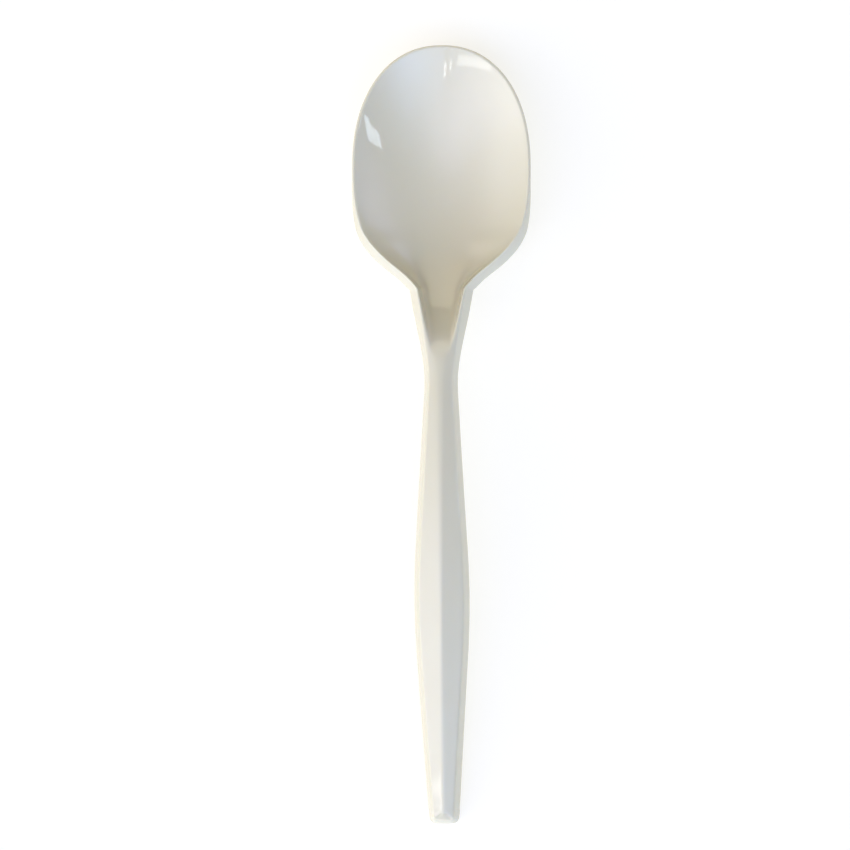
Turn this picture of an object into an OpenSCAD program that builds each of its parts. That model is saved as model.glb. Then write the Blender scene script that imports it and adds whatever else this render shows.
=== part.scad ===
// Soup spoon moulded in ivory plastic, divided into the features of its moulding.
// Lengths are in millimetres and angles in degrees.
// The spoon lies along Y, with the tip of its bowl at +Y and its hollow side up.
// It rests on the plane z = 0, on the floor of its bowl and the foot of its handle.
// A length called s runs from the tip of the bowl towards the end of the handle.

/* [Overall] */
// Length from the tip of the bowl to the end of the handle
overall_l = 146; // [136:1:160]
// Wall thickness of the bowl, the roof and the side walls
wall = 0.95; // [0.8:0.05:1.1]

/* [Bowl] */
// Width across the rim of the bowl
bowl_w = 33.3; // [30:0.1:37]
// Length of the rounded front, from the tip to the widest place of the oval
front_l = 22.8; // [21:0.1:25]
// Roundness of the front and of the dish, where 2 is an ellipse
fullness = 2.2; // [2:0.05:2.5]
// Distance from the tip to the lowest point of the dish
floor_at = 26; // [24:0.5:29]
// Height of the rim above the table at the tip
tip_z = 7.4; // [6.5:0.1:8.5]
// Climb of the rim as it leaves the tip
tip_rise = 1; // [0:0.5:3]

/* [Shoulders] */
// Distance from the tip to where the line of the shoulder is as wide as the bowl
shoulder_at = 35.9; // [34:0.1:37]
// Width that each side of the shoulder loses for each millimetre of length
shoulder_slope = 1.38; // [1.2:0.02:1.5]
// Size of the rounding between the oval and the shoulder
shoulder_round = 4.9; // [3:0.1:6]
// Distance from the tip to where the skirt of the shoulder is full
skirt_full_at = 42; // [39:0.5:45]
// Width of the land on top of the rim at the shoulder
rim_land = 0.2; // [0.15:0.05:0.4]
// Outward lean of the shoulder's skirt, which fades into the handle's at the neck
shoulder_draft = 24.5; // [22:0.5:27]

/* [Throat] */
// Distance from the tip to the mouth of the throat
mouth_at = 47.9; // [46.5:0.1:50]
// Width between the rims at the mouth of the throat
mouth_w = 7.6; // [6.6:0.1:8.6]
// Size of the fillet between the shoulder and the throat
mouth_round = 3.2; // [2:0.2:4]
// Squareness of the throat's section, where 2 is round
throat_fullness = 5; // [3:0.5:6]

/* [Handle] */
// Distance from the tip to the neck, where the throat ends on the ridge
neck_at = 58.5; // [56:0.5:61]
// Height of the ridge above the table at the neck
neck_z = 11.6; // [10.5:0.1:13]
// Climb of the ridge at the neck
neck_rise = 8; // [5:0.5:10]
// Fall of the ridge at the end of the handle
end_fall = 13; // [9:0.5:16]
// Width of the rounded ridge at the waist, where the two rims become its sides
waist_ridge_w = 2; // [1.6:0.1:2.4]
// Width of the rounded ridge from the belly to the end
ridge_w = 0.8; // [0.6:0.05:1.1]
// Pitch of the two faces of the roof
roof_pitch = 21; // [14:0.5:24]
// Width over the skirts at the mouth of the throat
neck_w = 10.1; // [9.6:0.05:11]
// Distance from the tip to the waist
waist_at = 61.6; // [60:0.1:64]
// Width over the skirts at the waist, before its rounding
waist_w = 5.85; // [5.5:0.05:6.6]
// Distance from the tip to the belly, the widest place of the handle
belly_at = 103.7; // [95:0.5:112]
// Width over the skirts at the belly, before its rounding
belly_w = 10.8; // [9.6:0.05:12]
// Size of the rounding at the belly
belly_round = 1.2; // [0.6:0.1:2]
// Width over the skirts at the end
end_w = 5.45; // [5:0.05:6.2]

/* [Skirts] */
// Height of the side walls
skirt_h = 2.8; // [2.2:0.1:3.4]
// Outward lean of the side walls
skirt_draft = 17.5; // [14:0.5:20]
// Run of the end wall from its top to its foot
end_run = 1.1; // [0.7:0.05:1.5]
// Rounding of the corners at the top of the end wall
corner_r = 0.35; // [0.2:0.05:0.5]
// Height of the flat foot under the end wall
foot_h = 0.5; // [0.3:0.05:0.8]

/* [Smoothness] */
// Longest step along the bowl and the neck
step_bowl = 1.5; // [1.2:0.1:2.5]
// Longest step along the handle
step_handle = 3; // [2:0.5:5]
// Number of steps across the bowl
steps_across = 24; // [16:2:28]
// Number of steps round each corner of the end wall
steps_corner = 4; // [3:1:6]

/* [Hidden] */
ivory = [0.93, 0.91, 0.83];
// Share of the skirt that is left where the shoulder fades into the side of the bowl
fade = 0.1;
// Share of the shoulder's width that its wall takes where it fades
fade_wall = 0.7;
// Blend lengths where two outlines meet
waist_round = 0.65;
ridge_round = 0.6;
neck_round = 0.5;
// Distance before the neck where the floor of the throat comes up to the ridge, and its rounding
throat_run = 2.2;
throat_round = 1.5;
// Most walls that the shell is deep, straight down, on the steep sides of the throat
most_walls = 3;
// Least distance under the roof from the line of the ridge to the skirt
least_roof = 0.15;
// Step for slopes, and the nearest a point comes to the tip
tiny = 0.01;

// Blends and curves
function smin(a, b, k) = min(a, b) - pow(max(k - abs(a - b), 0), 2) / (4 * k);
function smax(a, b, k) = -smin(-a, -b, k);
function mix(a, b, t) = a + (b - a) * t;
function ease(t) = let (c = min(max(t, 0), 1)) c * c * (3 - 2 * c);
// A straight line through two points [s, value]
function line(s, from, to) = mix(from[1], to[1], (s - from[0]) / (to[0] - from[0]));
// A smooth curve between two points [s, value, angle of climb]
function hermite(s, from, to) =
    let (l = to[0] - from[0], t = (s - from[0]) / l)
    mix(from[1], to[1], t * t * (3 - 2 * t))
        + l * t * pow(1 - t, 2) * tan(from[2]) - l * t * t * (1 - t) * tan(to[2]);

// Plan of the spoon as half-widths: rim, edge of the roof, and foot of the skirt
function oval_x(s) =
    let (t = min(abs(1 - s / front_l), 1))
    bowl_w / 2 * pow(1 - pow(t, fullness), 1 / fullness);
function shoulder_x(s) = bowl_w / 2 - shoulder_slope * (s - shoulder_at);
function throat_x(s) = line(s, [mouth_at, mouth_w / 2], [waist_at, waist_ridge_w / 2]);
function ridge_x(s) =
    max(line(s, [waist_at, waist_ridge_w / 2], [belly_at, ridge_w / 2]), ridge_w / 2);
function back_x(s) =
    let (bowl = smin(oval_x(s), shoulder_x(s), shoulder_round))
    smax(smax(bowl, throat_x(s), mouth_round), ridge_x(s), ridge_round);
function rim_x(s) = s < front_l ? oval_x(s) : back_x(s);
function handle_x(s) =
    let (
        waist = [waist_at, waist_w / 2],
        belly = [belly_at, belly_w / 2],
        neck_line = line(s, [mouth_at, neck_w / 2], waist),
        front_line = line(s, waist, belly),
        back_line = line(s, belly, [overall_l, end_w / 2])
    )
    smin(smax(neck_line, front_line, waist_round), back_line, belly_round);
// Share of the skirt that has grown at s
function grown(s) = mix(fade, 1, ease((s - front_l) / (skirt_full_at - front_l)));
// Width along x of a band that is 1 wide square to the rim
function slant(s) = norm([1, (rim_x(s + tiny) - rim_x(s - tiny)) / (2 * tiny)]);
function lean(s) =
    mix(tan(shoulder_draft), tan(skirt_draft), ease((s - mouth_at) / (neck_at - mouth_at)));
function skirt_run(s) = skirt_h * grown(s) * lean(s) * slant(s);
function roof_x(s) =
    smax(
        rim_x(s) + rim_land * grown(s) * slant(s),
        handle_x(s) - skirt_h * tan(skirt_draft),
        neck_round
    );
function skirt_x(s) = roof_x(s) + skirt_run(s);

// Where the handle's end starts to turn its corners
corner_at = overall_l - end_run - corner_r;

// Side view of the spoon as heights: rim or ridge, dish, roof, and foot of the skirt
end_z = foot_h + skirt_h + (roof_x(corner_at) - rim_x(corner_at)) * tan(roof_pitch);
neck_knot = [neck_at, neck_z, neck_rise];
function rim_z(s) =
    s < neck_at
        ? hermite(s, [0, tip_z, tip_rise], neck_knot)
        : hermite(s, neck_knot, [corner_at, end_z, -end_fall]);
// Along the middle, the dish is a parabola that is lowest at the floor and fades out at the neck
function depth(s) =
    let (
        front = (tip_z - wall) * pow(1 - s / floor_at, 2),
        climb = abs(s - floor_at) / (neck_at - throat_run - floor_at),
        back = (neck_z - wall) * pow(climb, fullness),
        hollow = rim_z(s) - wall - (s < floor_at ? front : back)
    )
    s < floor_at ? hollow : smax(hollow, 0, throat_round);
// Across, its depth fades towards the rim as a power of x, which is highest at the mouth
function power(s) =
    let (
        into = ease((s - shoulder_at) / (mouth_at - shoulder_at)),
        out = ease((s - mouth_at) / (neck_at - mouth_at))
    )
    mix(fullness, throat_fullness, into * (1 - out));
function dish_z(x, s) = rim_z(s) - depth(s) * (1 - pow(abs(x) / rim_x(s), power(s)));
// Depth of the wall straight down, where it is one wall thick square to its surface if it can be
function dish_wall(x, s) =
    let (
        at = max(s, tiny),
        dx = (dish_z(abs(x) + tiny, at) - dish_z(abs(x), at)) / tiny,
        ds = (dish_z(x, at + tiny) - dish_z(x, at)) / tiny
    )
    wall * min(norm([1, dx, ds]), most_walls);
function roof_z(x, s) = rim_z(s) - max(x - rim_x(s), 0) * tan(roof_pitch);
function skirt_z(s) = roof_z(roof_x(s), s) - skirt_h * grown(s);

// Points in the frame of the spoon
function point(x, s, z) = [x, overall_l / 2 - s, z];
function steps(from, to, longest) =
    let (n = ceil((to - from) / longest))
    [for (i = [0 : n]) mix(from, to, i / n)];

// A closed shell between an outer and an inner grid of points, with each quad cut along
// its shorter diagonal so that neighbours which share a side share its triangles
module shell(outer, inner) {
    rows = len(outer);
    columns = len(outer[0]);
    points = concat([for (r = outer) each r], [for (r = inner) each r]);
    function at(i, j) = i * columns + j;
    function under(i, j) = rows * columns + at(i, j);
    function quad(a, b, c, d) =
        norm(points[a] - points[c]) <= norm(points[b] - points[d])
            ? [[a, b, c], [a, c, d]]
            : [[a, b, d], [b, c, d]];
    along = [for (i = [0 : rows - 2]) i];
    across = [for (j = [0 : columns - 2]) j];
    last_row = rows - 1;
    last_column = columns - 1;
    polyhedron(
        points,
        concat(
            [for (i = along, j = across)
                each quad(at(i, j), at(i, j + 1), at(i + 1, j + 1), at(i + 1, j))],
            [for (i = along, j = across)
                each quad(under(i, j), under(i + 1, j), under(i + 1, j + 1), under(i, j + 1))],
            [for (i = along)
                each quad(at(i, 0), at(i + 1, 0), under(i + 1, 0), under(i, 0))],
            [for (i = along)
                each quad(
                    at(i, last_column), under(i, last_column),
                    under(i + 1, last_column), at(i + 1, last_column)
                )],
            [for (j = across)
                each quad(at(0, j), under(0, j), under(0, j + 1), at(0, j + 1))],
            [for (j = across)
                each quad(
                    at(last_row, j), at(last_row, j + 1),
                    under(last_row, j + 1), under(last_row, j)
                )]
        )
    );
}

// Plan points of the dish, which spread over the round front like a square pressed into a disc
function front_point(u, v) =
    let (
        disc = [u * sqrt(1 - v * v / 2), v * sqrt(1 - u * u / 2)],
        way = [for (d = disc) abs(d) / norm(disc)],
        reach = pow(pow(way[0], fullness) + pow(way[1], fullness), -1 / fullness)
    )
    [bowl_w / 2 * disc[0] * reach, front_l * (1 - disc[1] * reach)];
spread = [for (j = [0 : steps_across]) 2 * j / steps_across - 1];
function joined(first, second) = concat(first, [for (i = [1 : len(second) - 1]) second[i]]);
side_stations = joined(steps(front_l, floor_at, step_bowl), steps(floor_at, mouth_at, step_bowl));
neck_stations = steps(mouth_at, neck_at, step_bowl);
front_rows = [
    for (s = steps(0, front_l, step_bowl * 1.2))
        if (s < front_l) [for (u = spread) front_point(u, 1 - s / front_l)]
];
function back_rows(stations) = [for (s = stations) [for (u = spread) [u * rim_x(s), s]]];
function dish_top(plan) =
    [for (row = plan) [for (p = row) point(p[0], p[1], dish_z(p[0], max(p[1], tiny)))]];
function dish_under(plan) =
    [for (row = plan)
        [for (p = row) point(p[0], p[1], dish_z(p[0], max(p[1], tiny)) - dish_wall(p[0], p[1]))]];

module bowl() {
    plan = concat(front_rows, back_rows(side_stations));
    color(ivory) shell(dish_top(plan), dish_under(plan));
}

module throat() {
    plan = back_rows(neck_stations);
    color(ivory) shell(dish_top(plan), dish_under(plan));
}

// Inner foot and inner corner of the skirt
function skirt_in_x(s) =
    skirt_x(s) - min(wall * slant(s), fade_wall * (skirt_x(s) - rim_x(s)));
function roof_in(s) =
    let (x = max(roof_x(s) - wall, rim_x(s) + least_roof))
    [x, roof_z(x, s) - wall];

module shoulder() {
    stations = joined(side_stations, neck_stations);
    outer = [
        for (s = stations) [
            point(rim_x(s), s, rim_z(s)),
            point(roof_x(s), s, roof_z(roof_x(s), s)),
            point(skirt_x(s), s, skirt_z(s))
        ]
    ];
    inner = [
        for (s = stations)
            let (
                rim = [rim_x(s), rim_z(s) - dish_wall(rim_x(s), s)],
                foot = [skirt_in_x(s), skirt_z(s)],
                hollow = ease((s - mouth_at) / (neck_at - mouth_at)),
                corner = mix((rim + foot) / 2, roof_in(s), hollow)
            )
            [for (p = [rim, corner, foot]) point(p[0], s, p[1])]
    ];
    color(ivory) shell(outer, inner);
}
module right_shoulder() { shoulder(); }
module left_shoulder() { mirror([1, 0, 0]) shoulder(); }

// The end of the handle: the corners of its roof, and its inner skin
corner_roof_x = roof_x(corner_at) - corner_r;
corner_angles = [for (i = [1 : steps_corner]) 90 * i / steps_corner];
// The inner skin stops one wall short of the outer one
function inner_s(s) = mix(neck_at, corner_at - wall, (s - neck_at) / (corner_at - neck_at));
handle_stations = steps(neck_at, corner_at, step_handle);
inner_end_x = roof_x(corner_at - wall) - wall;
inner_foot_x = skirt_in_x(corner_at - wall);

// Rows of the roof, each with the points over its half from the ridge to the edge
roof_rows = concat(
    [for (s = handle_stations) [[rim_x(s), s], [roof_x(s), s]]],
    [for (a = corner_angles)
        let (s = corner_at + corner_r * sin(a))
        [[rim_x(s), s], [corner_roof_x + corner_r * cos(a), s]]]
);
roof_in_rows = concat(
    [for (t = handle_stations) let (s = inner_s(t)) [[rim_x(s), s], [roof_in(s)[0], s]]],
    [for (a = corner_angles)
        let (s = corner_at - wall + corner_r * sin(a))
        [[min(rim_x(s), inner_end_x / 2), s], [inner_end_x, s]]]
);
function roof_point(p, drop) = point(p[0], p[1], roof_z(p[0], p[1]) - drop);
function both_sides(rows, drop) =
    [for (row = rows)
        let (half = [for (p = row) roof_point(p, drop)])
        [for (q = [[-1, 1], [-1, 0], [1, 0], [1, 1]])
            let (p = half[q[1]]) [q[0] * p[0], p[1], p[2]]]];

module handle_roof() {
    color(ivory) shell(both_sides(roof_rows, 0), both_sides(roof_in_rows, wall));
}

module skirt() {
    outer = [
        for (s = handle_stations) [
            point(roof_x(s), s, roof_z(roof_x(s), s)),
            point(skirt_x(s), s, skirt_z(s))
        ]
    ];
    inner = [
        for (t = handle_stations)
            let (s = inner_s(t))
            [point(roof_in(s)[0], s, roof_in(s)[1]), point(skirt_in_x(s), s, skirt_z(t))]
    ];
    color(ivory) shell(outer, inner);
}
module right_skirt() { skirt(); }
module left_skirt() { mirror([1, 0, 0]) skirt(); }

// The foot of the end wall in plan, from the right skirt round to the left one
corner_run = [corner_r + skirt_x(corner_at) - roof_x(corner_at), corner_r + end_run];
foot_out_half = [
    for (a = concat([0], corner_angles))
        [corner_roof_x + corner_run[0] * cos(a), corner_at + corner_run[1] * sin(a)]
];
foot_in_half = [
    for (a = concat([0], corner_angles))
        [inner_foot_x, corner_at - wall + corner_run[1] * sin(a)]
];
function mirrored(half) =
    concat(half, [for (i = [len(half) - 1 : -1 : 0]) [-half[i][0], half[i][1]]]);

module end_wall() {
    // The rows of the roof that go round the end, with the ridge's two edges in the middle
    turn = len(handle_stations) - 1;
    last = len(roof_rows) - 1;
    top_half = concat([for (i = [turn : last]) roof_rows[i][1]], [roof_rows[last][0]]);
    top_in_half = concat([for (i = [turn : last]) roof_in_rows[i][1]], [roof_in_rows[last][0]]);
    foot_half = concat(foot_out_half, [[roof_rows[last][0][0], overall_l]]);
    foot_inner = concat(foot_in_half, [[roof_in_rows[last][0][0], overall_l - wall]]);
    top = mirrored(top_half);
    top_in = mirrored(top_in_half);
    foot = mirrored(foot_half);
    foot_in = mirrored(foot_inner);
    function edge(p, drop) = point(p[0], p[1], roof_z(abs(p[0]), p[1]) - drop);
    function base(p) = point(p[0], p[1], foot_h);
    color(ivory) shell(
        [for (i = [0 : len(top) - 1]) [edge(top[i], 0), base(foot[i])]],
        [for (i = [0 : len(top) - 1]) [edge(top_in[i], wall), base(foot_in[i])]]
    );
}

module end_foot() {
    outline = concat(
        mirrored(foot_out_half),
        [for (p = [[-1, 1], [-1, 0], [1, 0], [1, 1]])
            [p[0] * inner_foot_x, p[1] == 0 ? overall_l - wall : corner_at - wall]]
    );
    color(ivory)
        linear_extrude(foot_h)
            polygon([for (p = outline) [p[0], overall_l / 2 - p[1]]]);
}

bowl();
throat();
left_shoulder();
right_shoulder();
handle_roof();
left_skirt();
right_skirt();
end_wall();
end_foot();
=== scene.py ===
# %% [markdown]
# # A soup spoon moulded in ivory plastic
#
# The spoon is one injection moulding: a dish with a thin rim, a neck where the rim folds up into a
# ridge, and a hollow handle with a roof and two side walls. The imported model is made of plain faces
# and sharp edges. This lesson puts the real skin over it: one closed surface whose edges are all
# rounded, in a glossy, slightly translucent plastic, on a pale table.

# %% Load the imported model
import math

import bpy
import numpy as np
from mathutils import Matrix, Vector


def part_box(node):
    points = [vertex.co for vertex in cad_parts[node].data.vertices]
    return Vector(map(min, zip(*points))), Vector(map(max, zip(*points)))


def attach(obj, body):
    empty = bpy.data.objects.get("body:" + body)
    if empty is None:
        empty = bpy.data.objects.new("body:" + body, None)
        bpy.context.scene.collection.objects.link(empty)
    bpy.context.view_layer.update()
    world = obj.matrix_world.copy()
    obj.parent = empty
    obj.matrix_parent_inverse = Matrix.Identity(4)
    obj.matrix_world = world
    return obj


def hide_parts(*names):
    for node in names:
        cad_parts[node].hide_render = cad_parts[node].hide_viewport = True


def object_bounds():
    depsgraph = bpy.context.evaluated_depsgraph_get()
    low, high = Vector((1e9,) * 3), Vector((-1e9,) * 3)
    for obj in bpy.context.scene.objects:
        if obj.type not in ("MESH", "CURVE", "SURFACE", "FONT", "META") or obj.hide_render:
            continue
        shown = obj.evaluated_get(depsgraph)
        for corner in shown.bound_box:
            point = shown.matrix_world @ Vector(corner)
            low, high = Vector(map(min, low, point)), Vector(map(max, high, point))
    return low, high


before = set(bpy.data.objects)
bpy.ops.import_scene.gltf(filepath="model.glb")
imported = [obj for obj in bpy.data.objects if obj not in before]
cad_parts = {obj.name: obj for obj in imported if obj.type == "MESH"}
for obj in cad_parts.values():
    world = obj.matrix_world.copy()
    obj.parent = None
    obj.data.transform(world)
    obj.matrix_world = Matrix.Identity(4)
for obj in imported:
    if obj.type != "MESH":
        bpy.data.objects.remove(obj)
cad_low, cad_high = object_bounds()
print("nodes:", ", ".join(sorted(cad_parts)))

# %% [markdown]
# ## Sizes
#
# Every length is in metres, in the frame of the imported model: X across the spoon, Y along it with
# the tip of the bowl at the far end, and Z up from the table. It is easier to think of a spoon from
# its tip, so `s` is the distance from the tip towards the end of the handle. The main sizes are read
# from the boxes of the model's nodes, so that the skin follows the model.

# %% Sizes read from the model
MM = 0.001
TIP_Y = cad_high.y
LENGTH = cad_high.y - cad_low.y
BOWL_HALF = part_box("bowl")[1].x
FRONT = TIP_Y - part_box("right_shoulder")[1].y
MOUTH = TIP_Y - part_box("throat")[1].y
NECK = TIP_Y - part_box("throat")[0].y
NECK_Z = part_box("throat")[1].z
FOOT_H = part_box("end_foot")[1].z
print("length %.1f, bowl %.1f wide, neck at %.1f mm" % (LENGTH / MM, 2 * BOWL_HALF / MM, NECK / MM))

# %% Sizes of the moulding's walls and slopes
WALL = 0.95 * MM
FULLNESS = 2.2
FLOOR_AT = 26 * MM
TIP_Z = 7.4 * MM
SKIRT_H = 2.8 * MM
RIM_LAND = 0.2 * MM
WAIST_RIDGE_HALF, RIDGE_HALF = 1.0 * MM, 0.4 * MM
END_RUN = 1.1 * MM
PITCH = math.tan(math.radians(21))
SHOULDER_LEAN = math.tan(math.radians(24.5))
DRAFT = math.tan(math.radians(17.5))

# %% [markdown]
# ## Blends
#
# A mould maker draws an outline as a few straight tapers and arcs, and then rounds the places where
# they meet. A smooth minimum does the same with numbers: far from a meeting it is just the smaller
# of two values, and near it a short arc takes over. All the functions work on whole arrays.

# %% Blends and curves
def smooth_min(a, b, reach):
    """The smaller of a and b, less a parabola where they are within reach of each other."""
    return np.minimum(a, b) - np.maximum(reach - np.abs(a - b), 0) ** 2 / (4 * reach)


def smooth_max(a, b, reach):
    """The larger of a and b, rounded in the same way."""
    return -smooth_min(-a, -b, reach)


def mix(a, b, share):
    """The value that lies a share of the way from a to b."""
    return a + (b - a) * share


def ease(t):
    """0 before t = 0, 1 after t = 1, and between them three t squared less two t cubed."""
    t = np.clip(t, 0, 1)
    return t * t * (3 - 2 * t)


def line(s, start, stop):
    """A straight line through two points, each a place and a value."""
    return mix(start[1], stop[1], (s - start[0]) / (stop[0] - start[0]))


def climb(s, start, stop):
    """A cubic between two points, each a place, a value and an angle of climb in degrees."""
    run = stop[0] - start[0]
    t = (s - start[0]) / run
    lift = t * (1 - t) ** 2 * math.tan(math.radians(start[2]))
    drop = t * t * (1 - t) * math.tan(math.radians(stop[2]))
    return mix(start[1], stop[1], t * t * (3 - 2 * t)) + run * (lift - drop)


print("smooth minimum of 1 and 1, within 1: %.2f" % smooth_min(1, 1, 1))

# %% [markdown]
# ## The spoon in plan
#
# Seen from above, the spoon is a set of lines, one inside the other: the crest of the rim, the edge
# of the roof, and the foot of the side walls. Behind the widest place of the bowl each line is a
# half-width at every s. The rim is an oval that turns into a straight shoulder, then into the throat,
# and ends as the narrow ridge of the handle. The side walls follow the handle's three tapers.

# %% Half-width of the rim
SHOULDER_AT, SHOULDER_SLOPE, SHOULDER_ROUND = 35.9 * MM, 1.38, 4.9 * MM
MOUTH_HALF, MOUTH_ROUND, RIDGE_ROUND = 3.8 * MM, 3.2 * MM, 0.6 * MM
WAIST = (61.6 * MM, 2.925 * MM)
BELLY = (103.7 * MM, 5.4 * MM)


def rim_half(s):
    """The oval, the shoulder, the throat and the ridge, each blended into the next."""
    reach = np.minimum(np.abs(1 - s / FRONT), 1)
    oval = BOWL_HALF * (1 - reach ** FULLNESS) ** (1 / FULLNESS)
    shoulder = BOWL_HALF - SHOULDER_SLOPE * (s - SHOULDER_AT)
    throat = line(s, (MOUTH, MOUTH_HALF), (WAIST[0], WAIST_RIDGE_HALF))
    ridge = np.maximum(line(s, (WAIST[0], WAIST_RIDGE_HALF), (BELLY[0], RIDGE_HALF)), RIDGE_HALF)
    bowl = smooth_min(oval, shoulder, SHOULDER_ROUND)
    return smooth_max(smooth_max(bowl, throat, MOUTH_ROUND), ridge, RIDGE_ROUND)


print("mouth of the throat: %.1f mm wide" % (2 * rim_half(MOUTH) / MM))

# %% Half-widths of the handle and of its side walls
NECK_POINT = (MOUTH, 5.05 * MM)
END = (LENGTH, 2.725 * MM)
WAIST_ROUND, BELLY_ROUND, NECK_ROUND = 0.65 * MM, 1.2 * MM, 0.5 * MM
SKIRT_FULL = 40 * MM
FOOT_SPARE = 0.1 * MM
TINY = 0.01 * MM


def handle_half(s):
    """Three tapers: from the neck in to the waist, out to the belly, and in to the end."""
    front = smooth_max(line(s, NECK_POINT, WAIST), line(s, WAIST, BELLY), WAIST_ROUND)
    return smooth_min(front, line(s, BELLY, END), BELLY_ROUND)


def growth(s):
    """How much of the side wall has grown: none at the front of the bowl, all at the shoulder."""
    return ease((s - FRONT) / (SKIRT_FULL - FRONT))


def slant(s):
    """The width along X of a band that is 1 wide square to the rim."""
    return np.hypot(1, (rim_half(s + TINY) - rim_half(s - TINY)) / (2 * TINY))


def roof_half(s):
    """The rim and its land, or the handle less the run of its side wall, whichever is wider."""
    land = rim_half(s) + RIM_LAND * growth(s) * slant(s)
    return smooth_max(land, handle_half(s) - SKIRT_H * DRAFT, NECK_ROUND)


def lean(s):
    """The outward lean of the side wall: the shoulder's up to the mouth, the handle's from the neck."""
    return mix(SHOULDER_LEAN, DRAFT, ease((s - MOUTH) / (NECK - MOUTH)))


def foot_half(s):
    """The edge of the roof and the outward run of the side wall below it."""
    return roof_half(s) + (SKIRT_H * lean(s) + FOOT_SPARE) * growth(s) * slant(s)


waist_w, belly_w = 2 * handle_half(WAIST[0]), 2 * handle_half(BELLY[0])
print("handle: %.1f mm wide at the waist, %.1f mm at the belly" % (waist_w / MM, belly_w / MM))

# %% [markdown]
# The model's rim is a knife edge in front. The real one has a narrow rounded land there too, so the
# crest of the skin lies a little inside the model's rim, and the dish starts inside the crest.

# %% The rounded rim, and the inner skin
FRONT_LAND = 0.45 * MM
CREST_ROUND = 0.5 * MM
MOST_CUT = 0.45
MOST_WALL = 0.7


def crest_half(s):
    """The rim, moved in by the width of the land where the side wall has not grown."""
    return rim_half(s) - FRONT_LAND * (1 - growth(s)) * slant(s)


def dish_half(s):
    """The crest less its rounding, which takes at most a share MOST_CUT of a narrow ridge."""
    return crest_half(s) - np.minimum(CREST_ROUND * slant(s), MOST_CUT * crest_half(s))


def inner_foot_half(s):
    """The foot less one wall, or less a share MOST_WALL of the shoulder where that is thinner."""
    return foot_half(s) - np.minimum(WALL * slant(s), MOST_WALL * (foot_half(s) - rim_half(s)))


def inner_roof_half(s):
    """The edge of the roof less one wall."""
    return roof_half(s) - WALL


print("rim: %.2f mm from its edge to the dish" % ((rim_half(FRONT) - dish_half(FRONT)) / MM))

# %% [markdown]
# ## A net over the plan
#
# A round bowl is awkward for a grid: rows that stop at the rim leave slivers, and rows round a
# centre leave a pole. Here one rectangular net covers the whole spoon. Its first rows are pressed
# into the round front as a square is pressed into a disc, the middle rows go straight across, and the
# last rows are pressed into the end of the handle. The same net is laid inside every line of the
# plan, so point by point the lines belong together, and the border of the net is the loop round
# the spoon.

# %% Lay the net
ACROSS = np.linspace(-1, 1, 49)
FRONT_ROWS = np.linspace(1, 0, 37)[:-1, None]
END_ROWS = np.linspace(0, 1, 13)[1:, None]
END_TURN = LENGTH - 3.2 * MM
SIDE_ROWS = np.concatenate([np.linspace(FRONT, NECK, 73), np.linspace(NECK, END_TURN, 86)[1:]])


def pressed(u, v, power):
    """Presses the square of u and v into a disc, then moves each point out from the middle until
    the disc is a superellipse of that power."""
    x = u * np.sqrt(1 - v * v / 2)
    y = v * np.sqrt(1 - u * u / 2)
    way = np.hypot(x, y)
    reach = ((np.abs(x) / way) ** power + (np.abs(y) / way) ** power) ** (-1 / power)
    return x * reach, y * reach


def lay(half, tip, end, end_power):
    """The net inside one line, as x and s for each row and column. The line is half(s) wide on each
    side, its tip is that far behind the tip of the spoon, and it ends at end, in half a superellipse of
    end_power."""
    x, y = pressed(ACROSS, FRONT_ROWS, FULLNESS)
    front = np.stack([x * half(FRONT), FRONT - y * (FRONT - tip)], -1)
    side = np.stack(np.broadcast_arrays(ACROSS * half(SIDE_ROWS)[:, None], SIDE_ROWS[:, None]), -1)
    x, y = pressed(ACROSS, END_ROWS, end_power)
    s = END_TURN + y * (end - END_TURN)
    return np.concatenate([front, side, np.stack([x * half(s), s], -1)])


def border(net):
    """The points round the net: along the first row, down the right, back, and up the left."""
    return np.concatenate([net[0], net[1:, -1], net[-1, -2::-1], net[-2:0:-1, 0]])


# %% The lines of the plan, from the dish outwards and back in
CREST_TIP = FRONT_LAND
HIP_RUN = 1.25 * MM
RIDGE_LAND = 0.2 * MM
RIDGE_END = LENGTH - END_RUN - HIP_RUN
ROUND_END, SQUARE_END = 2, 5
dish_net = lay(dish_half, CREST_TIP + CREST_ROUND, RIDGE_END - RIDGE_LAND, ROUND_END)
dish_edge = border(dish_net)
crest = border(lay(crest_half, CREST_TIP, RIDGE_END, ROUND_END))
roof_edge = border(lay(roof_half, 0, LENGTH - END_RUN, SQUARE_END))
foot = border(lay(foot_half, 0, LENGTH, SQUARE_END))
inner_foot = border(lay(inner_foot_half, WALL, LENGTH - WALL, SQUARE_END))
inner_roof = border(lay(inner_roof_half, WALL, LENGTH - END_RUN - WALL, SQUARE_END))
print("net: %d rows, %d columns, %d points round" % (*dish_net.shape[:2], len(crest)))

# %% [markdown]
# ## Heights
#
# From the side, the rim climbs gently from the tip to the neck, and the ridge goes on over the
# handle and down to the table: two cubic curves that share their slope at the neck. The dish hangs
# from the crest. Along the middle it leaves the rim at the tip as a parabola, is one wall above the
# table under the bowl, and climbs to the ridge at the neck as a slightly higher power. Across, its
# depth fades towards the crest as a power of x: low in the bowl, which is round, and high in the
# throat, which has a flat floor. On the handle the depth is slightly negative, and the same formula
# rounds the ridge.

# %% Height of the rim
CORNER_R = 0.35 * MM
CORNER_AT = LENGTH - END_RUN - CORNER_R
END_Z = FOOT_H + SKIRT_H + (roof_half(CORNER_AT) - RIDGE_HALF) * PITCH
TIP_KNOT = (0, TIP_Z, 1)
NECK_KNOT = (NECK, NECK_Z, 8)
END_KNOT = (CORNER_AT, END_Z, -13)


def rim_z(s):
    """One cubic from the tip to the neck, and one from the neck to the end."""
    return np.where(s < NECK, climb(s, TIP_KNOT, NECK_KNOT), climb(s, NECK_KNOT, END_KNOT))


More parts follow.
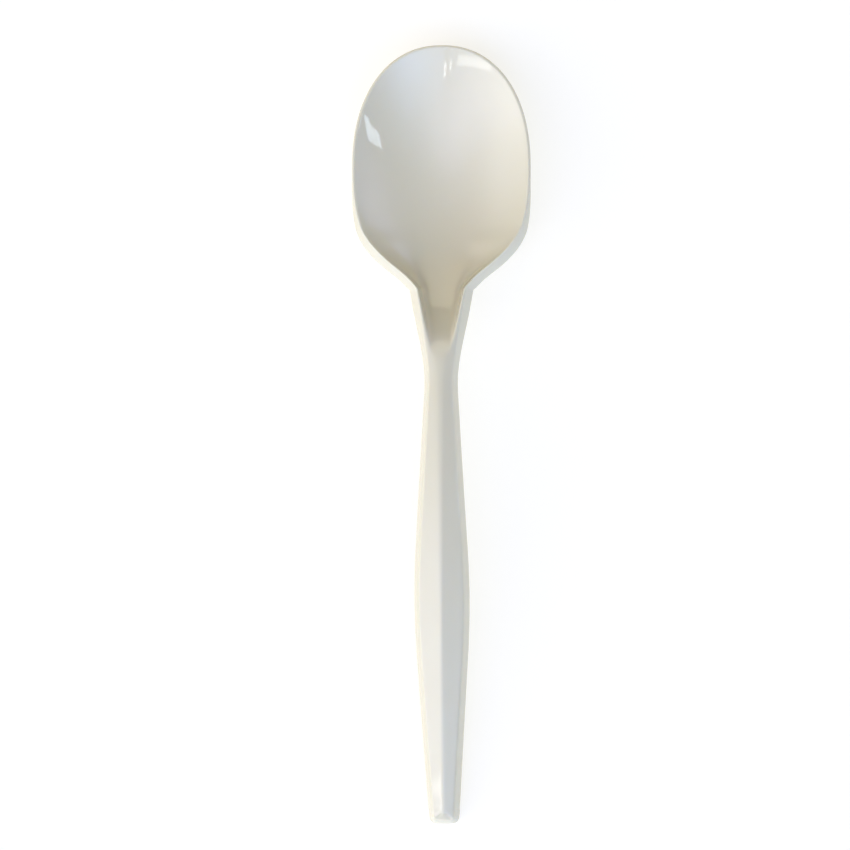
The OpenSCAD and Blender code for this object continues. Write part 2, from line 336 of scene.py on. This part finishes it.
print("rim: %.1f mm high at the tip, %.1f mm at the neck" % (TIP_Z / MM, NECK_Z / MM))

# %% Height of the dish
THROAT_END = NECK - 2.2 * MM
THROAT_ROUND = 1.8 * MM
THROAT_POWER = 8
MOST_WALLS = 3


def crest_at(s):
    """The half-width of the crest at any s: a superellipse in front, crest_half behind."""
    reach = np.clip((FRONT - s) / (FRONT - CREST_TIP), 0, 1)
    oval = crest_half(FRONT) * (1 - reach ** FULLNESS) ** (1 / FULLNESS)
    return np.where(s < FRONT, oval, crest_half(np.maximum(s, FRONT)))


def power(s):
    """The power of x: the bowl's, more in the throat, and the bowl's again on the ridge."""
    into = ease((s - SHOULDER_AT) / (MOUTH - SHOULDER_AT))
    out = ease((s - MOUTH) / (NECK - MOUTH))
    return mix(FULLNESS, THROAT_POWER, into * (1 - out))


def depth(s):
    """The rim less a curve that is lowest at the floor: a parabola in front of it, and the power
    FULLNESS behind it. In the throat the depth runs out into the crown of the ridge, whose sides meet
    the slope of the roof."""
    front = (rim_z(CREST_TIP) - WALL) * ((FLOOR_AT - s) / (FLOOR_AT - CREST_TIP)) ** 2
    back = (NECK_Z - WALL) * (np.abs(s - FLOOR_AT) / (THROAT_END - FLOOR_AT)) ** FULLNESS
    crown = crest_at(s) * PITCH / power(s)
    hollow = rim_z(s) - WALL - np.where(s < FLOOR_AT, front, back)
    return np.where(s < FLOOR_AT, hollow, smooth_max(hollow, -crown, THROAT_ROUND))


def dish_z(x, s):
    """The rim's height, less the depth in the middle times one less a power of x over the crest."""
    return rim_z(s) - depth(s) * (1 - (np.abs(x) / crest_at(s)) ** power(s))


def dish_wall(x, s):
    """The wall measured straight down, where it is one wall thick square to the dish, but at most
    MOST_WALLS walls deep on the steep sides of the throat."""
    across = (dish_z(np.abs(x) + TINY, s) - dish_z(np.abs(x), s)) / TINY
    along = (dish_z(x, s + TINY) - dish_z(x, s)) / TINY
    return WALL * np.minimum(np.sqrt(1 + across ** 2 + along ** 2), MOST_WALLS)


print("dish: %.1f mm deep" % (depth(FLOOR_AT) / MM))

# %% [markdown]
# ## The profile round the edge
#
# Everything outside the dish is one profile that is carried round the loop: over the crest, down
# the roof or the land, round its edge, down the side wall, round its foot, and back up inside. In
# front the side wall shrinks to the plain edge of the bowl, and its foot lies on the line of the
# dish's underside. At the end of the handle the roof has a hip, a steep face that falls from the end of
# the ridge to the edge, and the foot comes down to the table.

# %% Heights of the corners
FOOT_DEPTH, FOOT_TURN = 1.3 * MM, 1 * MM
FOOT_FLAT = LENGTH - END_RUN - FOOT_DEPTH
HIP_DROP, HIP_TURN = 0.45 * MM, 0.5 * MM


def apart(a, b):
    """Distance in plan between the points of two loops."""
    return np.hypot(*(a - b).T)


grown = growth(foot[:, 1])
on_table = ease((foot[:, 1] - FOOT_FLAT) / FOOT_TURN + 1)

dish_edge_z = dish_z(*dish_edge.T)
under_z = dish_edge_z - dish_wall(*dish_edge.T)
crest_z = rim_z(crest[:, 1])
hip = ease((roof_edge[:, 1] - LENGTH + END_RUN) / HIP_TURN + 1)
roof_z = crest_z - apart(crest, roof_edge) * PITCH - HIP_DROP * hip
edge_slope = (crest_z - dish_edge_z) / apart(crest, dish_edge)
front_foot_z = under_z + edge_slope * apart(foot, dish_edge)
foot_z = mix(mix(front_foot_z, roof_z - SKIRT_H, grown), 0, on_table)
print("foot of the side wall: %.1f to %.1f mm high" % (foot_z.min() / MM, foot_z.max() / MM))


# %% Corners of the profile in space
def in_space(plan, z):
    """Points of the plan, as x and s, put at heights z in the frame of the model."""
    return np.stack([plan[..., 0], TIP_Y - plan[..., 1], z], -1)


dish_corner = in_space(dish_edge, dish_edge_z)
under_corner = in_space(dish_edge, under_z)
crest_corner = in_space(crest, crest_z)
roof_corner = in_space(roof_edge, roof_z)
foot_corner = in_space(foot, foot_z)

# Where the side wall has not grown, the inner corners only divide the way from the foot to the dish.
third = (under_corner - foot_corner) / 3
inner_foot_corner = mix(foot_corner + third, in_space(inner_foot, foot_z), grown[:, None])
in_shoulder = mix(foot_corner + 2 * third, (under_corner + inner_foot_corner) / 2, grown[:, None])

# Behind the mouth the last of them moves under the roof, so the handle is hollow.
under_roof = in_space(inner_roof, roof_z - WALL * (1 - PITCH))
hollow = ease((foot[:, 1] - MOUTH) / (NECK - MOUTH))
inner_roof_corner = mix(in_shoulder, under_roof, hollow[:, None])

# %% [markdown]
# A moulding has no sharp edge. Each corner of the profile is replaced by a short curve that starts
# and ends on its two sides, and the flats between the curves get a few points close to their ends,
# so that smooth shading leaves them flat.

# %% Round the corners
BEND = np.linspace(0, 1, 8)[:, None]
FLAT = np.array([0.04, 0.2, 0.5, 0.8, 0.96])[:, None]


def towards(corner, other, cut):
    """The point on the way to the other corner, at the cut or at MOST_CUT of the way if that is less."""
    way = other - corner
    length = np.linalg.norm(way, axis=-1, keepdims=True)
    return corner + way * np.minimum(cut / length, MOST_CUT)


def bent(start, corner, stop):
    """A quadratic curve that leaves start towards the corner and comes to stop from it."""
    start, corner, stop = (p[:, None] for p in (start, corner, stop))
    return (1 - BEND) ** 2 * start + 2 * BEND * (1 - BEND) * corner + BEND ** 2 * stop


def flat(start, stop):
    """Points on the straight way from start to stop, close together near both."""
    return mix(start[:, None], stop[:, None], FLAT)


# %% Carry the rounded profile round the loop
# The rounding's cut at each corner of the list, except the first and the last.
CUTS = [0.35 * MM, 0.4 * MM, 0.25 * MM, 0.25 * MM, 0.4 * MM]
corners = [
    dish_corner, crest_corner, roof_corner, foot_corner,
    inner_foot_corner, inner_roof_corner, under_corner,
]
columns = []
left_off = dish_corner
for before, corner, after, cut in zip(corners, corners[1:], corners[2:], CUTS):
    start, stop = towards(corner, before, cut), towards(corner, after, cut)
    columns += [flat(left_off, start), bent(start, corner, stop)]
    left_off = stop
columns.append(flat(left_off, under_corner))
edge_band = np.concatenate(columns, axis=1)
print("profile: %d points, carried through %d places" % edge_band.shape[1::-1])

# %% [markdown]
# ## One closed skin
#
# The skin is three sheets that share their borders: the dish on top, the band round the edge, and
# the underside of the dish. Because they share points and not only places, there is no seam, and the
# surface encloses the plastic completely. Two numbers test it: every edge has exactly two faces, and
# the volume, summed from the faces, comes out positive, as it does when they point outwards.

# %% Join the sheets
top = in_space(dish_net, dish_z(*np.moveaxis(dish_net, -1, 0)))
under = in_space(dish_net, top[..., 2] - dish_wall(*np.moveaxis(dish_net, -1, 0)))
count = top[..., 0].size
top_at = np.arange(count).reshape(top.shape[:2])
band_at = 2 * count + np.arange(edge_band[..., 0].size).reshape(edge_band.shape[:2])
loop_at = border(top_at)[:, None]
band_at = np.concatenate([loop_at, band_at, loop_at + count], axis=1)
band_at = np.concatenate([band_at, band_at[:1]])


def quads(at):
    """The four corners of every cell of a net of point numbers."""
    return np.stack([at[:-1, :-1], at[:-1, 1:], at[1:, 1:], at[1:, :-1]], -1).reshape(-1, 4)


points = np.concatenate([top.reshape(-1, 3), under.reshape(-1, 3), edge_band.reshape(-1, 3)])
faces = np.concatenate([quads(top_at)[:, ::-1], quads(top_at + count), quads(band_at)[:, ::-1]])

# %% Test that the skin is closed
sides = np.sort(np.stack([faces, np.roll(faces, -1, axis=1)], -1).reshape(-1, 2), axis=1)
shared = np.unique(sides, axis=0, return_counts=True)[1]
# A face adds a third of the product of its middle and its area, taken as an arrow square to it.
a, b, c, d = (points[faces[:, i]] for i in range(4))
volume = np.sum(np.cross(c - a, d - b) * (a + b + c + d)) / 24
print("faces at each edge: %d to %d, volume %.0f mm3" % (shared.min(), shared.max(), volume / MM ** 3))

# %% Make the piece
mesh = bpy.data.meshes.new("spoon_moulding")
mesh.from_pydata(points, [], faces.tolist())
mesh.shade_smooth()
spoon = bpy.data.objects.new("spoon_moulding", mesh)
bpy.context.scene.collection.objects.link(spoon)
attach(spoon, "root")
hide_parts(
    "bowl", "throat", "left_shoulder", "right_shoulder", "handle_roof",
    "left_skirt", "right_skirt", "end_wall", "end_foot",
)
print("spoon_moulding: %d points, %d faces" % (len(mesh.vertices), len(mesh.polygons)))

# %% [markdown]
# ## Sums with sockets
#
# A material is a graph of nodes, and a sum of three terms already takes many lines of node code. This
# small class wraps a socket so that Python's own operators add the Math nodes.

# %% A socket that can be added and multiplied
class Socket:
    """An output of a node. Operators on it add Math nodes to the same graph."""

    def __init__(self, tree, output):
        self.tree = tree
        self.output = output

    def node(self, kind, settings=(), sockets=()):
        """Adds a node of that kind, sets its settings first, then its sockets, and returns it."""
        made = self.tree.nodes.new("ShaderNode" + kind)
        for name, value in dict(settings).items():
            setattr(made, name, value)
        for name, value in dict(sockets).items():
            if isinstance(value, Socket):
                self.tree.links.new(value.output, made.inputs[name])
            else:
                made.inputs[name].default_value = value
        return made

    def get(self, kind, settings=(), sockets=(), output=0):
        """Adds a node and wraps one of its outputs."""
        return Socket(self.tree, self.node(kind, settings, sockets).outputs[output])

    def math(self, operation, first, second):
        """Adds a Math node with that operation."""
        return self.get("Math", {"operation": operation}, {0: first, 1: second})

    def __add__(self, other):
        return self.math("ADD", self, other)

    def __sub__(self, other):
        return self.math("SUBTRACT", self, other)

    def __rsub__(self, other):
        return self.math("SUBTRACT", other, self)

    def __mul__(self, other):
        return self.math("MULTIPLY", self, other)

    def __lt__(self, other):
        return self.math("LESS_THAN", self, other)

    __radd__ = __add__
    __rmul__ = __mul__


# %% [markdown]
# ## Ivory plastic
#
# The real spoon is a plastic such as polystyrene, tinted ivory. Light goes a millimetre or two into
# it, so thin edges glow and shadows are soft; that is subsurface scattering. Its skin is a copy of a
# polished mould: glossy, but with a faint unevenness from shrinking and from handling, which breaks
# the edges of reflections. The tint is slightly cloudy, and here and there a dark speck was moulded
# in. All of it is worked out from the place on the object, so it needs no picture.

# %% Helpers for materials
def new_material(name):
    """A new node material, its shader, and a socket with the place on the object."""
    material = bpy.data.materials.new(name)
    material.use_nodes = True
    tree = material.node_tree
    shader = tree.nodes["Principled BSDF"]
    place = tree.nodes.new("ShaderNodeTexCoord").outputs["Object"]
    return material, shader, Socket(tree, place)


def join(shader, name, value):
    """Links a socket of our own to a socket of the shader."""
    value.tree.links.new(value.output, shader.inputs[name])


def noise(place, scale, detail):
    """Cloudy noise from 0 to 1, with about scale waves to the metre and detail finer layers on them."""
    return place.get("TexNoise", sockets={"Vector": place, "Scale": scale, "Detail": detail})


def blend(place, share, first, second):
    """The colour that lies a share of the way from the first to the second. A Mix node takes the share
    at socket 0 and two colours at 6 and 7, and gives the blend at 2."""
    return place.get("Mix", {"data_type": "RGBA"}, {0: share, 6: first, 7: second}, 2)


# %% Make the plastic
IVORY = (0.82, 0.77, 0.57, 1)
IVORY_DEEP = (0.80, 0.74, 0.52, 1)
SPECK = (0.25, 0.2, 0.13, 1)
CLOUD_WAVES, SPECK_WAVES, HANDLING_WAVES, SHRINKAGE_WAVES = 90, 160, 900, 160
SPECK_REACH, SPECK_STRENGTH = 0.012, 0.5


def ivory_plastic():
    """Glossy ivory plastic: cloudy tint, a few specks, uneven gloss and a faintly uneven skin."""
    material, shader, place = new_material("ivory_plastic")
    shader.inputs["IOR"].default_value = 1.55
    shader.inputs["Subsurface Weight"].default_value = 0.2
    shader.inputs["Subsurface Radius"].default_value = (1.0, 0.8, 0.5)
    shader.inputs["Subsurface Scale"].default_value = 1.5 * MM

    clouds = noise(place, CLOUD_WAVES, detail=3)
    speck_near = place.get("TexVoronoi", sockets={"Vector": place, "Scale": SPECK_WAVES})
    specks = (speck_near < SPECK_REACH) * SPECK_STRENGTH
    tint = blend(place, clouds, IVORY_DEEP, IVORY)
    join(shader, "Base Color", blend(place, specks, tint, SPECK))

    handling = noise(place, HANDLING_WAVES, detail=4)
    join(shader, "Roughness", 0.03 + 0.03 * handling)

    shrinkage = noise(place, SHRINKAGE_WAVES, detail=2)
    bump = {"Strength": 0.2, "Distance": 0.05 * MM, "Height": shrinkage}
    join(shader, "Normal", place.get("Bump", sockets=bump))
    return material


mesh.materials.append(ivory_plastic())
print("material:", mesh.materials[0].name)

# %% [markdown]
# ## Table, light and camera
#
# The table is a wide sheet of white board. Its colour is slightly warm, which evens out the bluish
# light of the room. It glows by itself, which stands for all the light that a bright room sends on to
# it, so the shadow of the spoon stays pale.

# %% White board
TABLE_HALF = 1.5
BOARD = (0.46, 0.44, 0.36, 1)
BOARD_GLOW = 0.64
TOOTH_WAVES = 3000


def white_board():
    """Matt white board with a faint tooth, and a glow that keeps its shadows pale."""
    material, shader, place = new_material("white_board")
    shader.inputs["Base Color"].default_value = BOARD
    shader.inputs["Emission Color"].default_value = (1, 1, 1, 1)
    shader.inputs["Emission Strength"].default_value = BOARD_GLOW
    tooth = noise(place, TOOTH_WAVES, detail=2)
    join(shader, "Roughness", 0.8 + 0.1 * tooth)
    return material


table_mesh = bpy.data.meshes.new("table")
table_corners = TABLE_HALF * np.array([(-1, -1, 0), (1, -1, 0), (1, 1, 0), (-1, 1, 0)])
table_mesh.from_pydata(table_corners, [], [(0, 1, 2, 3)])
table_mesh.materials.append(white_board())
table = bpy.data.objects.new("table", table_mesh)
bpy.context.scene.collection.objects.link(table)
print("table: %.0f m wide" % (2 * TABLE_HALF))

# %% [markdown]
# The light is daylight in a plain room, and most of it is soft. Each glow below is a broad patch of
# wall, given by its azimuth and elevation, how fast it fades with the angle from there, its colour, and
# an edge: the glow is seen only in directions that face the edge's own direction closely enough.
# Two glows have such an edge, and the edge of the others hides nothing. The bowl mirrors one as the
# straight side of a window, and the throat mirrors the other, the foot of a bright wall, as a fine
# line. The world adds the glows up.

# %% Soft glows of the room
NO_EDGE = (0, 90, -1)
GLOWS = [
    (222, 44, 9, (1.5, 1.5, 2.0), NO_EDGE),
    (198, 14, 9, (2.9, 3.0, 3.35), NO_EDGE),
    (20, 14, 16, (1.3, 1.35, 2.0), NO_EDGE),
    (240, 70, 20, (1.3, 1.3, 1.8), NO_EDGE),
    (296, 42, 14, (1.3, 2.0, 3.5), (354, 0, 0)),
    (90, 36, 12, (1.8, 1.65, 1.2), (0, 90, 0.5)),
]


def direction(azimuth, elevation):
    """A direction from its angle from +X towards +Y and its angle above the table, in degrees."""
    a, e = math.radians(azimuth), math.radians(elevation)
    return math.cos(a) * math.cos(e), math.sin(a) * math.cos(e), math.sin(e)


def facing(way, azimuth, elevation):
    """How closely a direction faces another: the cosine of the angle between them."""
    other = direction(azimuth, elevation)
    return way.get("VectorMath", {"operation": "DOT_PRODUCT"}, {0: way, 1: other}, "Value")


world = bpy.data.worlds.new("room")
bpy.context.scene.world = world
world.use_nodes = True
way = Socket(world.node_tree, world.node_tree.nodes.new("ShaderNodeTexCoord").outputs["Generated"])
glow_sum = (0, 0, 0)
for azimuth, elevation, sharpness, colour, (edge_azimuth, edge_elevation, least) in GLOWS:
    exponent = sharpness * (facing(way, azimuth, elevation) - 1)
    fade = way.get("Math", {"operation": "EXPONENT"}, {0: exponent})
    seen = 1 - (facing(way, edge_azimuth, edge_elevation) < least)
    glow = way.get("VectorMath", {"operation": "SCALE"}, {0: colour, "Scale": fade * seen})
    glow_sum = way.get("VectorMath", {"operation": "ADD"}, {0: glow_sum, 1: glow})
join(world.node_tree.nodes["Background"], "Color", glow_sum)
print("room: %d soft glows" % len(GLOWS))

# %% [markdown]
# A glossy dish is a mirror, and it is the sharp edges in a mirror that look like polished plastic. So a
# few panes of window light stand in the walls, one metre from the bowl. Each is given by the azimuth
# of its wall, its two ends along the wall, its lower and upper edge above the table, and its brightness
# in red, green and blue. The camera sees them only as reflections.

# %% Window panes
BOWL_Y = TIP_Y - FLOOR_AT
PANES = [
    (-90, (-1.25, -0.33), (1.07, 1.19), (3, 3, 2.9)),
    (-90, (-0.14, -0.11), (1.16, 1.37), (6, 6, 6)),
    (-90, (-0.225, -0.2), (1.12, 1.26), (6, 6, 6)),
    (0, (-0.17, -0.03), (0.43, 0.5), (4.4, 5.2, 6.0)),
    (0, (-0.145, -0.035), (0.5, 0.66), (4.4, 5.2, 6.0)),
]


def pane(azimuth, along, height, brightness):
    """A rectangle of light in a wall. Its power is brightness times pi times its area."""
    data = bpy.data.lights.new("pane", "AREA")
    data.shape = "RECTANGLE"
    data.size, data.size_y = along[1] - along[0], height[1] - height[0]
    data.energy = max(brightness) * math.pi * data.size * data.size_y
    data.color = np.array(brightness) / max(brightness)
    light = bpy.data.objects.new("pane", data)
    light.visible_camera = False
    bpy.context.scene.collection.objects.link(light)
    outward, sideways = np.array(direction(azimuth, 0)), np.array(direction(azimuth + 90, 0))
    above_bowl = np.array([0, BOWL_Y, sum(height) / 2])
    light.location = above_bowl + outward + sum(along) / 2 * sideways
    light.rotation_euler = math.pi / 2, 0, math.radians(azimuth + 90)


for sizes in PANES:
    pane(*sizes)
print("room: %d panes" % len(PANES))

# %% [markdown]
# The camera looks almost straight down through a long lens, from a little to the right of the
# spoon. The picture is square, and the spoon fills most of its height.

# %% Camera
CENTRE = np.array([-3.2, 2.2, 6]) * MM
DISTANCE = 529 * MM
SIDE_TILT, TURN = math.radians(3.3), math.radians(-0.1)

camera_data = bpy.data.cameras.new("camera")
camera_data.lens = 120
camera_data.clip_start = 0.01
camera = bpy.data.objects.new("camera", camera_data)
bpy.context.scene.collection.objects.link(camera)
camera.location = CENTRE + DISTANCE * np.array([math.sin(SIDE_TILT), 0, math.cos(SIDE_TILT)])
camera.rotation_euler = (0, SIDE_TILT, TURN)
bpy.context.scene.camera = camera
bpy.context.scene.view_settings.view_transform = "Standard"
print("camera at", [round(v / MM) for v in camera.location], "mm")
